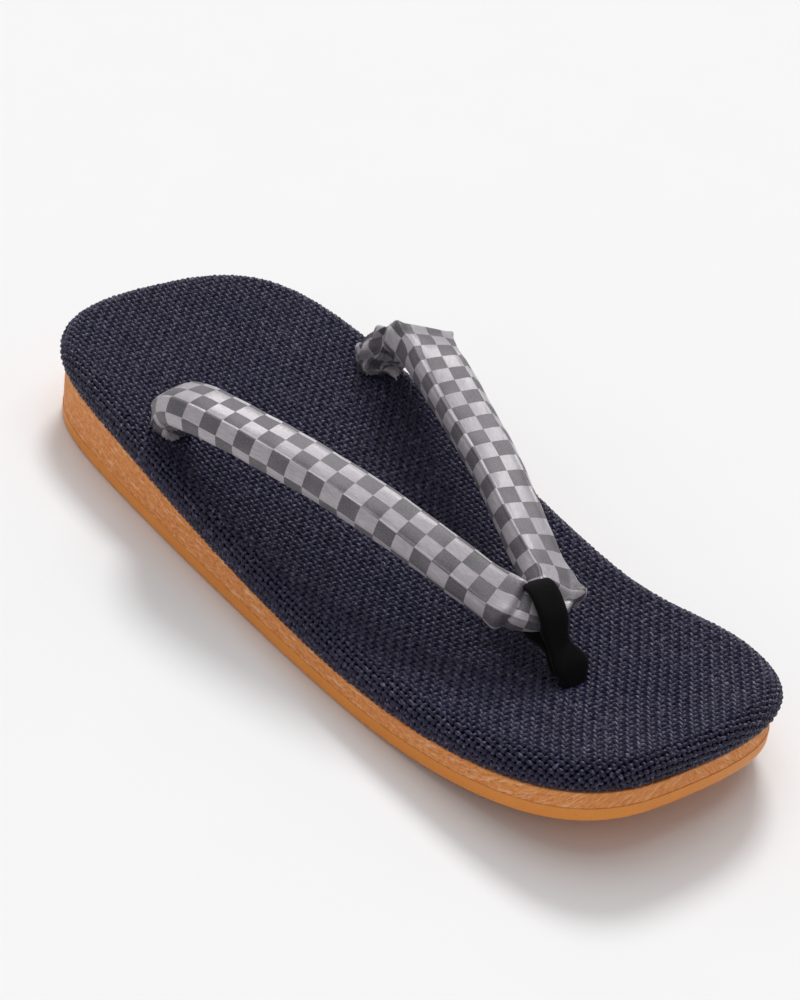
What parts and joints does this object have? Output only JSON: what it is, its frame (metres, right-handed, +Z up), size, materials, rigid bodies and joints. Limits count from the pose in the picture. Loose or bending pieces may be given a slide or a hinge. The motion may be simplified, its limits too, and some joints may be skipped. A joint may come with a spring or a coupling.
{
  "type": "zori sandal",
  "caption": "Flat-soled thong sandal with a padded woven footbed, a cork wedge, a rubber outsole and a padded V-shaped fabric strap held by a front loop.",
  "frame": {"origin": "on the floor, under the middle of the sandal's box", "axes": "+X to the toe, +Y to the outer side of the left foot, +Z up"},
  "size_m": [0.2682, 0.1041, 0.0508],
  "materials": {
    "rubber": "smooth amber rubber, satin",
    "cork": "pressed cork with light flecks, matt",
    "weave": "coarse woven navy rush cloth, dull sheen on the strands",
    "cloth": "satin cloth woven in silver and dark grey squares",
    "velvet": "black velvet, matt"
  },
  "bodies": {
    "root": {"outsole": "rubber", "midsole": "cork", "footbed": "weave", "strap": "cloth", "front_loop": "velvet"}
  },
  "joints": []
}
